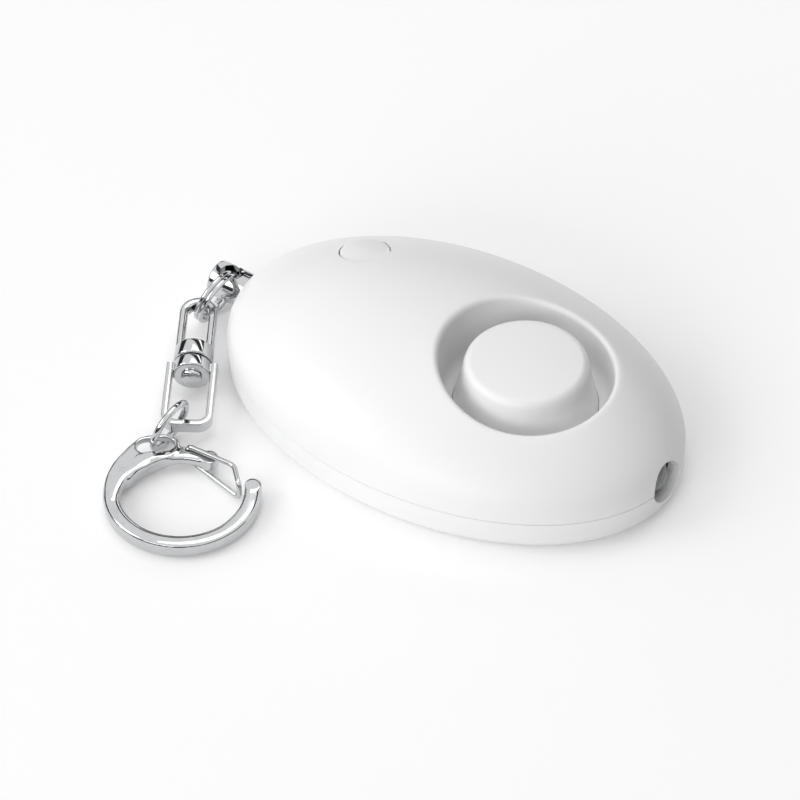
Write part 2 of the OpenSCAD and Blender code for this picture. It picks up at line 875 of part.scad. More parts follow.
// Drum with chamfered edges along X
module drum(from, to, r) {
    translate([from, 0, 0])
        rotate([0, 90, 0])
            rotate_extrude()
                polygon([[0, 0], [r - drum_chamfer, 0], [r, drum_chamfer], [r, to - from - drum_chamfer],
                    [r - drum_chamfer, to - from], [0, to - from]]);
}

module swivel_loop() {
    inner = loop_w / 2 - loop_bar;
    color("silver")
        on_swivel()
            difference() {
                union() {
                    drum(-drum_gap / 2 - drum_h, -drum_gap / 2, drum_r);
                    translate([0, 0, -loop_d / 2])
                        linear_extrude(height = loop_d)
                            difference() {
                                union() {
                                    translate([loop_w / 2 - loop_top, 0])
                                        circle(r = loop_w / 2);
                                    translate([loop_w / 2 - loop_top, -loop_w / 2])
                                        square([loop_top - loop_w / 2 - drum_h / 2, loop_w]);
                                }
                                translate([loop_w / 2 - loop_top, 0])
                                    circle(r = inner);
                                translate([loop_w / 2 - loop_top, -inner])
                                    square([loop_top - loop_w / 2 - drum_h, 2 * inner]);
                            }
                }
                rod_x(-loop_top / 2, over, rivet_r);
            }
}

module swivel_rivet() {
    head_x = drum_gap / 2 + low_drum_h + run_gap;
    color("silver")
        on_swivel() {
            rod_x(-drum_gap / 2 - drum_h, head_x + rivet_head_h / 2, rivet_r);
            translate([head_x, 0, 0])
                rotate([0, 90, 0])
                    rotate_extrude() {
                        square([rivet_head_r - rivet_head_h / 2, rivet_head_h]);
                        translate([0, rivet_head_h / 4])
                            square([rivet_head_r, rivet_head_h / 4]);
                        polygon([[0, 0], [rivet_head_r - rivet_head_h / 4, 0], [rivet_head_r, rivet_head_h / 4],
                            [rivet_head_r, rivet_head_h / 2], [rivet_head_r - rivet_head_h / 2, rivet_head_h],
                            [0, rivet_head_h]]);
                    }
        }
}

// Flat outline of the stirrup's strip, at a distance inside its outer edge
module stirrup_outline(inset, start) {
    square_end = stirrup_l - stirrup_r;
    half = stirrup_w / 2;
    translate([start, inset - half])
        square([square_end - start, 2 * (half - inset)]);
    translate([square_end - over, stirrup_r - half])
        square([stirrup_r - inset + over, 2 * (half - stirrup_r)]);
    for (s = [-1, 1])
        translate([square_end, s * (half - stirrup_r)])
            circle(r = stirrup_r - inset);
}

module swivel_stirrup() {
    top = drum_gap / 2 + drum_chamfer;
    color("silver")
        on_swivel()
            difference() {
                union() {
                    drum(drum_gap / 2, drum_gap / 2 + low_drum_h, low_drum_r);
                    translate([0, 0, -stirrup_d / 2])
                        linear_extrude(height = stirrup_d)
                            difference() {
                                stirrup_outline(0, top);
                                stirrup_outline(stirrup_t, drum_gap / 2 + low_drum_h - drum_chamfer);
                            }
                }
                rod_x(-over, stirrup_l / 2, rivet_r + run_gap);
            }
}

module jump_ring() {
    color("silver")
        translate(jump_mid)
            rotate([0, jump_lean, 0])
                rotate([0, 90, 0])
                    rotate_extrude()
                        translate([jump_r, 0])
                            circle(r = jump_wire_r);
}

// Frame of the hook: flat on the table, with its origin in the middle of the ring
module on_hook() {
    translate([hook_mid[0], hook_mid[1], 0])
        rotate([0, 0, hook_turn])
            children();
}

// Part of the hook's arm between two angles
module arm_part(from, to, z, h) {
    corner = 0.4;
    translate([arm_off[0], arm_off[1], z])
        rotate([0, 0, from])
            rotate_extrude(angle = to - from)
                translate([arm_r, 0])
                    round_section(arm_w, h, corner);
}

module hook_body() {
    color("silver")
        on_hook()
            difference() {
                union() {
                    translate([0, 0, hook_z])
                        rotate([0, 0, join_a])
                            rotate_extrude(angle = 360 + nose_a - join_a)
                                translate([hook_r, 0])
                                    circle(r = hook_bar_r);
                    translate([hook_r * cos(nose_a), hook_r * sin(nose_a), hook_z])
                        sphere(r = nose_r - hook_lift);
                    arm_part(arm_step_a, arm_start_a, arm_z, arm_h);
                    arm_part(arm_end_a, arm_step_a + 1, arm_thin_z, arm_thin_h);
                    translate([arm_off[0] + arm_r * cos(arm_end_a), arm_off[1] + arm_r * sin(arm_end_a), arm_thin_z])
                        cylinder(r = arm_w / 2, h = arm_thin_h);
                    translate([eye_at[0], eye_at[1], eye_z])
                        rotate([0, 0, eye_turn])
                            linear_extrude(height = eye_h)
                                obround(eye_l + 2 * eye_wall, eye_w + 2 * eye_wall);
                }
                translate([eye_at[0], eye_at[1], -over])
                    rotate([0, 0, eye_turn])
                        linear_extrude(height = case_h)
                            obround(eye_l, eye_w);
                translate([gate_pivot[0], gate_pivot[1], -over])
                    cylinder(r = gate_r + run_gap, h = case_h);
            }
}

module hook_gate() {
    post_r = gate_r * 0.94;
    pin_in = gate_gap + gate_r + gate_pin;
    color("silver")
        on_hook() {
            translate([0, 0, gate_top - gate_r])
                linear_extrude(height = 2 * gate_r)
                    corner_strip(gate_pivot, gate_corner, gate_end, gate_r);
            translate([0, 0, gate_low - gate_r])
                linear_extrude(height = 2 * gate_r)
                    strip(gate_end, gate_pivot, gate_r);
            translate([gate_end[0], gate_end[1], gate_low])
                cylinder(r = post_r, h = gate_top - gate_low);
            translate([gate_pivot[0], gate_pivot[1], gate_top - pin_in])
                cylinder(r = post_r, h = pin_in);
            translate([gate_pivot[0], gate_pivot[1], gate_low])
                cylinder(r = post_r, h = pin_in);
        }
}

top_shell();
base_shell();
siren_cap();
siren_spacer();
sounder_disc();
sounder_ceramic();
lamp();
lamp_leads();
torch_button();
switch_plunger();
torch_switch();
circuit_board();
boost_coil();
control_chip();
button_cells();
cell_contacts_lower();
cell_contacts_upper();
case_screws();
board_screws();
pin_socket();
socket_contact();
pin_head();
pin_shank();
split_ring();
swivel_loop();
swivel_rivet();
swivel_stirrup();
jump_ring();
hook_body();
hook_gate();
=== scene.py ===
import json
import math

import bmesh
import bpy
from mathutils import Matrix, Vector


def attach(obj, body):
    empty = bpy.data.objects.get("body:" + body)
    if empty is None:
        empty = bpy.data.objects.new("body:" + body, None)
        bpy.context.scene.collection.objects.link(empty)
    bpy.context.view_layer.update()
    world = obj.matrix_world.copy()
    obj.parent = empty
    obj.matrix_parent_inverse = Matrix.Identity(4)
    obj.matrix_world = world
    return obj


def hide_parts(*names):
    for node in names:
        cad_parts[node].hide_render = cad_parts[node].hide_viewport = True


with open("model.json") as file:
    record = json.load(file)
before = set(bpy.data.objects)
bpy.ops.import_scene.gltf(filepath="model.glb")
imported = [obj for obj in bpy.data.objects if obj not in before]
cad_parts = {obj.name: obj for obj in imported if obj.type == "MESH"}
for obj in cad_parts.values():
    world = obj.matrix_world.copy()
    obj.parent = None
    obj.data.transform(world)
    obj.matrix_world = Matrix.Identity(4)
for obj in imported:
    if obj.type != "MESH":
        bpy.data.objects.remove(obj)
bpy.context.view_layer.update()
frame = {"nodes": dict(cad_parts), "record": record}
scene = bpy.context.scene
nodes = frame["nodes"]
scene.view_settings.view_transform = "Standard"
mm = 0.001
print("frame loaded:", len(nodes), "nodes")


# shader groups shared by the finishes
def shaderGroup(name, inputs, outputs):
    group = bpy.data.node_groups.new(name, "ShaderNodeTree")
    for label, kind, value in inputs:
        socket = group.interface.new_socket(label, in_out="INPUT", socket_type=kind)
        socket.default_value = value
    for label, kind in outputs:
        group.interface.new_socket(label, in_out="OUTPUT", socket_type=kind)
    return group, group.nodes.new("NodeGroupInput"), group.nodes.new("NodeGroupOutput")


def mouldGrain():
    group, given, out = shaderGroup(
        "mouldGrain",
        [("Vector", "NodeSocketVector", (0, 0, 0)), ("Scale", "NodeSocketFloat", 900.0),
         ("Roughness", "NodeSocketFloat", 0.3), ("Spread", "NodeSocketFloat", 0.06)],
        [("Roughness", "NodeSocketFloat"), ("Height", "NodeSocketFloat")])
    link = group.links.new
    fine = group.nodes.new("ShaderNodeTexNoise")
    fine.inputs["Detail"].default_value = 3
    link(given.outputs["Vector"], fine.inputs["Vector"])
    link(given.outputs["Scale"], fine.inputs["Scale"])
    cloud = group.nodes.new("ShaderNodeTexNoise")
    cloud.inputs["Scale"].default_value = 60
    link(given.outputs["Vector"], cloud.inputs["Vector"])
    centred = group.nodes.new("ShaderNodeMath")
    centred.operation = "SUBTRACT"
    centred.inputs[1].default_value = 0.5
    link(cloud.outputs["Fac"], centred.inputs[0])
    rough = group.nodes.new("ShaderNodeMath")
    rough.operation = "MULTIPLY_ADD"
    link(centred.outputs[0], rough.inputs[0])
    link(given.outputs["Spread"], rough.inputs[1])
    link(given.outputs["Roughness"], rough.inputs[2])
    link(rough.outputs[0], out.inputs["Roughness"])
    link(fine.outputs["Fac"], out.inputs["Height"])
    return group


def handlingScuff():
    group, given, out = shaderGroup(
        "handlingScuff",
        [("Vector", "NodeSocketVector", (0, 0, 0)), ("Clean", "NodeSocketFloat", 0.06),
         ("Scuffed", "NodeSocketFloat", 0.2)],
        [("Roughness", "NodeSocketFloat"), ("Mask", "NodeSocketFloat")])
    link = group.links.new
    stretch = group.nodes.new("ShaderNodeMapping")
    stretch.inputs["Scale"].default_value = (1.0, 1.0, 6.0)
    link(given.outputs["Vector"], stretch.inputs["Vector"])
    noise = group.nodes.new("ShaderNodeTexNoise")
    noise.inputs["Scale"].default_value = 700
    noise.inputs["Detail"].default_value = 5
    link(stretch.outputs[0], noise.inputs["Vector"])
    ramp = group.nodes.new("ShaderNodeMapRange")
    ramp.inputs["From Min"].default_value = 0.5
    ramp.inputs["From Max"].default_value = 0.75
    link(noise.outputs["Fac"], ramp.inputs["Value"])
    mix = group.nodes.new("ShaderNodeMix")
    link(ramp.outputs[0], mix.inputs["Factor"])
    link(given.outputs["Clean"], mix.inputs["A"])
    link(given.outputs["Scuffed"], mix.inputs["B"])
    link(mix.outputs["Result"], out.inputs["Roughness"])
    link(ramp.outputs[0], out.inputs["Mask"])
    return group


grainGroup = mouldGrain()
scuffGroup = handlingScuff()


def blankFinish(name):
    mat = bpy.data.materials.new(name)
    mat.use_nodes = True
    tree = mat.node_tree
    shader = tree.nodes["Principled BSDF"]
    coords = tree.nodes.new("ShaderNodeTexCoord")
    return mat, tree, shader, coords.outputs["Object"]


def plasticFinish(name, color, rough=0.3, spread=0.08, bump=0.02, tint=0.03):
    mat, tree, shader, where = blankFinish(name)
    link = tree.links.new
    grain = tree.nodes.new("ShaderNodeGroup")
    grain.node_tree = grainGroup
    grain.inputs["Roughness"].default_value = rough
    grain.inputs["Spread"].default_value = spread
    link(where, grain.inputs["Vector"])
    link(grain.outputs["Roughness"], shader.inputs["Roughness"])
    raised = tree.nodes.new("ShaderNodeBump")
    raised.inputs["Strength"].default_value = bump
    raised.inputs["Distance"].default_value = 0.0001
    link(grain.outputs["Height"], raised.inputs["Height"])
    link(raised.outputs[0], shader.inputs["Normal"])
    cloud = tree.nodes.new("ShaderNodeTexNoise")
    cloud.inputs["Scale"].default_value = 45
    link(where, cloud.inputs["Vector"])
    shade = tree.nodes.new("ShaderNodeMix")
    shade.data_type = "RGBA"
    link(cloud.outputs["Fac"], shade.inputs["Factor"])
    shade.inputs["A"].default_value = (*[c * (1 - tint) for c in color], 1)
    shade.inputs["B"].default_value = (*color, 1)
    link(shade.outputs["Result"], shader.inputs["Base Color"])
    return mat


def metalFinish(name, color, clean=0.06, scuffed=0.16, dull=0.9):
    mat, tree, shader, where = blankFinish(name)
    link = tree.links.new
    scuff = tree.nodes.new("ShaderNodeGroup")
    scuff.node_tree = scuffGroup
    scuff.inputs["Clean"].default_value = clean
    scuff.inputs["Scuffed"].default_value = scuffed
    link(where, scuff.inputs["Vector"])
    link(scuff.outputs["Roughness"], shader.inputs["Roughness"])
    shade = tree.nodes.new("ShaderNodeMix")
    shade.data_type = "RGBA"
    link(scuff.outputs["Mask"], shade.inputs["Factor"])
    shade.inputs["A"].default_value = (*color, 1)
    shade.inputs["B"].default_value = (*[c * dull for c in color], 1)
    link(shade.outputs["Result"], shader.inputs["Base Color"])
    shader.inputs["Metallic"].default_value = 1.0
    return mat


def lensFinish(name):
    mat, tree, shader, where = blankFinish(name)
    grain = tree.nodes.new("ShaderNodeGroup")
    grain.node_tree = grainGroup
    grain.inputs["Roughness"].default_value = 0.06
    grain.inputs["Spread"].default_value = 0.05
    tree.links.new(where, grain.inputs["Vector"])
    tree.links.new(grain.outputs["Roughness"], shader.inputs["Roughness"])
    shader.inputs["Base Color"].default_value = (0.82, 0.83, 0.84, 1)
    shader.inputs["Transmission Weight"].default_value = 0.72
    shader.inputs["IOR"].default_value = 1.5
    return mat


shellWhite = plasticFinish("shellWhite", (0.905, 0.905, 0.907), rough=0.38)
buttonWhite = plasticFinish("buttonWhite", (0.905, 0.905, 0.907), rough=0.34)
blackPlastic = plasticFinish("blackPlastic", (0.03, 0.03, 0.032), rough=0.5, bump=0.06, tint=0.3)
ceramicWhite = plasticFinish("ceramicWhite", (0.8, 0.76, 0.66), rough=0.6, bump=0.05)
boardGreen = plasticFinish("boardGreen", (0.03, 0.2, 0.08), rough=0.35, tint=0.25)
ferriteBrown = plasticFinish("ferriteBrown", (0.16, 0.09, 0.06), rough=0.6, bump=0.1, tint=0.3)
chromePlate = metalFinish("chromePlate", (0.6, 0.605, 0.615))
plainSteel = metalFinish("plainSteel", (0.55, 0.55, 0.57), clean=0.22, scuffed=0.38)
sheetBrass = metalFinish("sheetBrass", (0.7, 0.52, 0.22), clean=0.22, scuffed=0.4)
clearLens = lensFinish("clearLens")
slotFinish = {"shell_white": shellWhite, "black_plastic": blackPlastic, "chrome": chromePlate,
              "steel": plainSteel, "brass": sheetBrass, "ceramic": ceramicWhite, "board_green": boardGreen,
              "ferrite": ferriteBrown, "clear_lens": clearLens}
for part in frame["record"]["subparts"]:
    cadMesh = nodes[part["node"]].data
    cadMesh.materials.clear()
    cadMesh.materials.append(slotFinish[part["material_slot"]])
print("finishes:", len(slotFinish))


# helpers that close, place and attach a piece made in millimetres
sharpAngle = math.radians(38)


def finishPiece(name, bm, body, finish, replaces=()):
    bmesh.ops.remove_doubles(bm, verts=bm.verts, dist=0.0005)
    bmesh.ops.recalc_face_normals(bm, faces=bm.faces)
    for face in bm.faces:
        face.smooth = True
    for edge in bm.edges:
        if len(edge.link_faces) == 2 and edge.calc_face_angle(0.0) > sharpAngle:
            edge.smooth = False
    bmesh.ops.scale(bm, vec=(mm, mm, mm), verts=bm.verts)
    mesh = bpy.data.meshes.new(name)
    bm.to_mesh(mesh)
    bm.free()
    piece = bpy.data.objects.new(name, mesh)
    scene.collection.objects.link(piece)
    mesh.materials.append(finish)
    if body:
        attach(piece, body)
    if replaces:
        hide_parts(*replaces)
    return piece


def spinProfile(bm, points, steps=96, axis=(0, 0, 1)):
    verts = [bm.verts.new(p) for p in points]
    edges = [bm.edges.new((verts[i], verts[i + 1])) for i in range(len(verts) - 1)]
    bmesh.ops.spin(bm, geom=verts + edges, cent=(0, 0, 0), axis=axis, dvec=(0, 0, 0), angle=2 * math.pi,
                   steps=steps, use_merge=True, use_duplicate=False)


def arcPoints(cx, cz, radius, start, stop, count):
    turns = [math.radians(start + (stop - start) * i / count) for i in range(count + 1)]
    return [(cx + radius * math.cos(a), 0, cz + radius * math.sin(a)) for a in turns]


def cutBy(piece, cutters):
    for cutter in cutters:
        cut = piece.modifiers.new("cut", "BOOLEAN")
        cut.operation = "DIFFERENCE"
        cut.solver = "EXACT"
        cut.object = cutter
    bpy.context.view_layer.update()
    shaped = piece.evaluated_get(bpy.context.evaluated_depsgraph_get())
    cutMesh = bpy.data.meshes.new_from_object(shaped)
    piece.modifiers.clear()
    oldMesh = piece.data
    piece.data = cutMesh
    bpy.data.meshes.remove(oldMesh)
    for cutter in cutters:
        bpy.data.objects.remove(cutter)
    edges = bmesh.new()
    edges.from_mesh(cutMesh)
    for edge in edges.edges:
        if len(edge.link_faces) == 2:
            edge.smooth = edge.calc_face_angle(0.0) < sharpAngle
    for face in edges.faces:
        face.smooth = True
    edges.to_mesh(cutMesh)
    edges.free()


def rodCutter(radius, start, stop, axis, at, flat=1.0):
    bm = bmesh.new()
    bmesh.ops.create_cone(bm, cap_ends=True, segments=96, radius1=radius, radius2=radius, depth=stop - start)
    bmesh.ops.translate(bm, verts=bm.verts, vec=(0, 0, (start + stop) / 2))
    if axis == "x":
        bmesh.ops.rotate(bm, verts=bm.verts, cent=(0, 0, 0), matrix=Matrix.Rotation(math.pi / 2, 3, "Y"))
        bmesh.ops.scale(bm, verts=bm.verts, vec=(1, 1, flat))
    bmesh.ops.translate(bm, verts=bm.verts, vec=at)
    return finishPiece("cutter", bm, None, shellWhite)


# egg case: two moulded halves, whose lips are insets and shares of the seam
case = {"halfLength": 32.5, "halfWidth": 21.5, "domeHeight": 11.4, "partZ": 4.6, "wall": 1.6, "edge": 2.0,
        "seam": 0.06, "segments": 192, "loops": 40, "crowding": 2.2, "liningLoops": 14, "liningReach": 0.98,
        "floor": 1.2, "upperLip": [(0.03, 1.2), (0.06, 0.8), (0.3, 0.25), (0.9, 0.2)],
        "lowerLip": [(0.0, 1.2), (0.05, 0.8), (0.3, 0.25), (0.9, 0.2), (1.6, 0.2)]}
well = {"x": 11.0, "radius": 11.2, "floorZ": 7.2, "holeRadius": 9.42, "rimFillet": 0.95, "filletSteps": 6,
        "wall": 1.2, "ledge": 1.2, "footFillet": 1.3, "footSteps": 6}
lampHole = {"z": 4.7, "radius": 3.0, "flat": 0.87, "startX": 25, "endX": 40}
pinHole = {"z": 3.9, "radius": 2.65, "startX": -45, "floorX": -31.6}
button = {"x": -18.5, "y": 7.0, "radius": 3.3, "gap": 0.15, "domeRadius": 16.0, "lean": 11.0, "footZ": 8.9,
          "topInset": 0.25, "topSteps": 8, "rim": [(0.1, 0.06), (0.02, 0.16), (0.0, 0.3)], "flange": 0.65,
          "flangeHeight": 0.3, "leanAbove": 0.5, "cutLow": 8, "cutHigh": 20}
screwHole = {"radius": 2.0, "low": -1, "high": 1.5, "at": [(-25, -8.2), (-25, 8.2), (25, -7.3), (25, 7.3)]}


def domeZ(x, y, inset=0.0):
    inside = 1 - (x / (case["halfLength"] - inset)) ** 2 - (y / (case["halfWidth"] - inset)) ** 2
    return case["partZ"] + (case["domeHeight"] - inset) * math.sqrt(max(inside, 0.0))


def outlineReach(angle, inset=0.0):
    c, s = math.cos(angle), math.sin(angle)
    long, wide = case["halfLength"] - inset, case["halfWidth"] - inset
    a = (c / long) ** 2 + (s / wide) ** 2
    b = 2 * well["x"] * c / long ** 2
    k = (well["x"] / long) ** 2 - 1
    return (-b + math.sqrt(b * b - 4 * a * k)) / (2 * a)


def skinPoint(angle, reach, inset=0.0):
    x = well["x"] + reach * math.cos(angle)
    y = reach * math.sin(angle)
    return x, y, domeZ(x, y, inset)


def loopPoint(loop, angle):
    kind, t = loop
    c, s = math.cos(angle), math.sin(angle)
    if kind == "flat":
        return Vector((well["x"] + t[0] * c, t[0] * s, t[1]))
    f = well["rimFillet"]
    edge = Vector(skinPoint(angle, well["radius"]))
    if kind == "fillet":
        low = edge - Vector((0, 0, f))
        far = Vector(skinPoint(angle, well["radius"] + f))
        return low * (1 - t) ** 2 + edge * 2 * t * (1 - t) + far * t * t
    start = well["radius"] + f
    reach = outlineReach(angle)
    if kind == "dome":
        ease = 1 - (1 - t) ** case["crowding"]
        return Vector(skinPoint(angle, start + (reach - start) * ease))
    if kind == "lining":
        inset = case["wall"]
        ease = 1 - (1 - t) ** case["crowding"]
        start = well["radius"] + well["wall"]
        return Vector(skinPoint(angle, start + (outlineReach(angle, inset) - start) * ease, inset))
    return Vector((well["x"] + (reach - t[0]) * c, (reach - t[0]) * s, case["partZ"] + t[1]))


def endCutters():
    lampCutter = rodCutter(lampHole["radius"], lampHole["startX"], lampHole["endX"], "x",
                           (0, 0, lampHole["z"]), lampHole["flat"])
    pinCutter = rodCutter(pinHole["radius"], pinHole["startX"], pinHole["floorX"], "x", (0, 0, pinHole["z"]))
    return [lampCutter, pinCutter]


def upperShell():
    seam = case["seam"]
    foot = well["footFillet"]
    loops = [("flat", (well["holeRadius"], well["floorZ"]))]
    footArc = arcPoints(well["radius"] - foot, well["floorZ"] + foot, foot, -90, 0, well["footSteps"])
    loops += [("flat", (p[0], p[2])) for p in footArc]
    loops += [("fillet", i / well["filletSteps"]) for i in range(well["filletSteps"] + 1)]
    loops += [("dome", i / case["loops"]) for i in range(1, case["loops"])]
    loops += [("seam", (inset, share * seam)) for inset, share in case["upperLip"]]
    far, count = case["liningReach"], case["liningLoops"]
    loops += [("lining", far - far * i / count) for i in range(count + 1)]
    under = well["floorZ"] - well["ledge"]
    loops += [("flat", (well["radius"] + well["wall"], under)), ("flat", (well["holeRadius"], under))]
    loops.append(loops[0])
    bm = bmesh.new()
    bmesh.ops.create_circle(bm, segments=case["segments"], radius=1.0)
    turns = {v: math.atan2(v.co.y, v.co.x) for v in bm.verts}
    for v, angle in turns.items():
        v.co = loopPoint(loops[0], angle)
    edges = list(bm.edges)
    for loop in loops[1:]:
        made = bmesh.ops.extrude_edge_only(bm, edges=edges)["geom"]
        edges = [g for g in made if isinstance(g, bmesh.types.BMEdge)]
        grown = {}
        for v in [g for g in made if isinstance(g, bmesh.types.BMVert)]:
            root = [e.other_vert(v) for e in v.link_edges if e.other_vert(v) in turns][0]
            grown[v] = turns[root]
            v.co = loopPoint(loop, turns[root])
        turns = grown
        edges = [e for e in edges if e.verts[0] in turns and e.verts[1] in turns]
    piece = finishPiece("upper_shell", bm, "case", shellWhite, ["top_shell"])
    buttonCutter = rodCutter(button["radius"] + button["gap"], button["cutLow"], button["cutHigh"], "z",
                             (button["x"], button["y"], 0))
    cutBy(piece, [buttonCutter] + endCutters())


def lowerShell():
    half, seam, edge = case["halfLength"], case["seam"], case["edge"]
    inner, top = half - case["wall"], case["partZ"]
    outline = [(0, 0, 0)] + arcPoints(half - edge, edge, edge, -90, 0, 8)
    outline += [(half - inset, 0, top - share * seam) for inset, share in case["lowerLip"]]
    outline += [(inner, 0, case["floor"]), (0, 0, case["floor"])]
    bm = bmesh.new()
    spinProfile(bm, outline, steps=case["segments"])
    bmesh.ops.scale(bm, vec=(1, case["halfWidth"] / half, 1), verts=bm.verts)
    piece = finishPiece("lower_shell", bm, "case", shellWhite, ["base_shell"])
    holes = [rodCutter(screwHole["radius"], screwHole["low"], screwHole["high"], "z", (x, y, 0))
             for x, y in screwHole["at"]]
    cutBy(piece, holes + endCutters())


upperShell()
lowerShell()
print("case halves done")


# siren cap in the well
cap = {"baseRadius": 9.35, "topRadius": 8.0, "topZ": 14.6, "fillet": 1.1, "crown": 0.3, "baseZ": 6.2,
       "wall": 1.2, "filletArc": (8, 88), "filletSteps": 10, "crownSteps": 8}


def sirenCap():
    r, f, z = cap["topRadius"], cap["fillet"], cap["topZ"]
    outline = [(cap["baseRadius"] - cap["wall"], 0, cap["baseZ"]), (cap["baseRadius"], 0, cap["baseZ"]),
               (cap["baseRadius"], 0, well["floorZ"])]
    outline += arcPoints(r - f, z - f, f, *cap["filletArc"], cap["filletSteps"])
    inward = [1 - i / cap["crownSteps"] for i in range(1, cap["crownSteps"] + 1)]
    outline += [((r - f) * share, 0, z + cap["crown"] * (1 - share ** 2)) for share in inward]
    bm = bmesh.new()
    spinProfile(bm, outline, steps=128)
    bmesh.ops.translate(bm, verts=bm.verts, vec=(well["x"], 0, 0))
    finishPiece("siren_cap_skin", bm, "case", shellWhite, ["siren_cap"])


sirenCap()


# torch button with a leaning domed top
def torchButton():
    r, dome = button["radius"], button["domeRadius"]
    slopeX = button["x"] / case["halfLength"] ** 2
    slopeY = button["y"] / case["halfWidth"] ** 2
    size = math.hypot(slopeX, slopeY)
    topZ = domeZ(button["x"], button["y"])
    foot = button["footZ"] - topZ
    shoulder = foot + button["flangeHeight"]
    flange = r + button["flange"]
    sag = [(r - button["topInset"]) * i / button["topSteps"] for i in range(button["topSteps"] + 1)]
    outline = [(s, 0, -s * s / (2 * dome)) for s in sag]
    rim = outline[-1][2]
    outline += [(r - inset, 0, rim - drop) for inset, drop in button["rim"]]
    outline += [(r, 0, shoulder), (flange, 0, shoulder), (flange, 0, foot), (0, 0, foot)]
    bm = bmesh.new()
    spinProfile(bm, outline, steps=96)
    tilt = math.tan(math.radians(button["lean"]))
    for v in bm.verts:
        if v.co.z > foot + button["leanAbove"]:
            v.co.z -= tilt * (v.co.x * slopeX + v.co.y * slopeY) / size
    bmesh.ops.translate(bm, verts=bm.verts, vec=(button["x"], button["y"], topZ))
    finishPiece("torch_button_skin", bm, "torch_button", buttonWhite, ["torch_button"])


torchButton()
print("cap and button done")


# lamp in the nose
lamp = {"tip": 31.9, "radius": 2.5, "length": 8.3, "collarRadius": 2.9, "collar": 1.0,
        "posts": [(-0.8, 1.5, 28.2), (0.9, 1.0, 28.0)], "postWidth": 0.5, "postInset": 0.3,
        "cupX": 28.3, "cupY": -0.5, "cupBack": 0.7, "cupFront": 1.0, "cupDepth": 0.6, "frameEdge": 0.06}


def noseLamp():
    tip, r = lamp["tip"], lamp["radius"]
    back = tip - lamp["length"]
    collarFront, collarRadius = back + lamp["collar"], lamp["collarRadius"]
    outline = [(back, 0, 0), (back, 0, collarRadius), (collarFront, 0, collarRadius), (collarFront, 0, r)]
    for i in range(13):
        a = math.radians(90 * i / 12)
        outline.append((tip - r + r * math.sin(a), 0, r * math.cos(a)))
    bm = bmesh.new()
    spinProfile(bm, outline, steps=64, axis=(1, 0, 0))
    bmesh.ops.translate(bm, verts=bm.verts, vec=(0, 0, lampHole["z"]))
    finishPiece("lamp_lens", bm, "case", clearLens, ["lamp"])
    bm = bmesh.new()
    start, wide = back + lamp["postInset"], lamp["postWidth"]
    for y, tall, x in lamp["posts"]:
        bar = bmesh.ops.create_cube(bm, size=1.0)["verts"]
        bmesh.ops.scale(bm, verts=bar, vec=(x - start, wide * tall, wide))
        bmesh.ops.translate(bm, verts=bar, vec=((x + start) / 2, y, lampHole["z"]))
    cup = bmesh.ops.create_cone(bm, cap_ends=True, segments=32, radius1=lamp["cupBack"],
                                radius2=lamp["cupFront"], depth=lamp["cupDepth"])["verts"]
    bmesh.ops.rotate(bm, verts=cup, cent=(0, 0, 0), matrix=Matrix.Rotation(math.pi / 2, 3, "Y"))
    bmesh.ops.translate(bm, verts=cup, vec=(lamp["cupX"], lamp["cupY"], lampHole["z"]))
    bmesh.ops.bevel(bm, geom=list(bm.edges), offset=lamp["frameEdge"], segments=2, profile=0.5,
                    affect="EDGES", material=-1)
    finishPiece("lamp_frame", bm, "case", plainSteel)


noseLamp()


# pull pin's chrome head with its cross hole
pin = {"radius": 2.5, "end": -37.6, "face": -31.7, "holeX": -35.35, "holeRadius": 1.5, "chamfer": 0.3,
       "sink": 0.55, "flare": 1.5, "through": 4}


def pinHead():
    r, c = pin["radius"], pin["chamfer"]
    outline = [(pin["end"], 0, 0)]
    outline += [(pin["end"] + c - c * math.cos(a), 0, r - c + c * math.sin(a))
                for a in [math.radians(90 * i / 5) for i in range(6)]]
    outline += [(pin["face"] - c, 0, r), (pin["face"], 0, r - c), (pin["face"], 0, 0)]
    bm = bmesh.new()
    spinProfile(bm, outline, steps=96, axis=(1, 0, 0))
    bmesh.ops.translate(bm, verts=bm.verts, vec=(0, 0, pinHole["z"]))
    piece = finishPiece("pin_head_chrome", bm, "pull_pin", chromePlate, ["pin_head"])
    bm = bmesh.new()
    hole, sink = pin["holeRadius"], pin["sink"]
    wide, far = hole + sink + pin["flare"], pin["through"]
    waist = [(0, 0, far), (wide, 0, far), (hole, 0, r - sink),
             (hole, 0, sink - r), (wide, 0, -far), (0, 0, -far)]
    spinProfile(bm, waist, steps=96)
    bmesh.ops.translate(bm, verts=bm.verts, vec=(pin["holeX"], 0, pinHole["z"]))
    cutBy(piece, [finishPiece("cutter", bm, None, chromePlate)])


pinHead()
print("pin and lamp done")


# chrome chain: split ring, swivel, jump ring, snap hook
splitRing = {"at": (-35.4756, -3.2478, 3.9), "turn": -2.0, "lean": 16.0, "radius": 3.6, "wire": 0.36,
             "step": 0.34, "start": 25, "lap": 315, "crossing": 40}
swivel = {"at": (-30.7717, -14.8834, 3.2443), "turn": -59.0, "slope": 4.0}
loop = {"width": 5.0, "bar": 1.1, "depth": 1.8, "top": 11.35, "drumRadius": 2.6, "drumBack": -2.5,
        "drumFront": -0.1, "root": -1.3, "corner": 0.42}
stirrup = {"width": 6.7, "strip": 0.9, "depth": 1.7, "length": 11.0, "corner": 2.0, "start": 0.35,
           "drumRadius": 2.5, "drumBack": 0.1, "drumFront": 2.0, "stripEdge": 0.16,
           "bridgeX": 1.05, "bridgeLength": 1.3, "bridgeInset": 0.3, "bridgeThin": 0.1}
rivet = {"radius": 0.8, "headRadius": 1.4, "headX": 2.05, "headHeight": 0.8, "tail": -2.4, "brim": 0.2,
         "brimInset": 0.1}
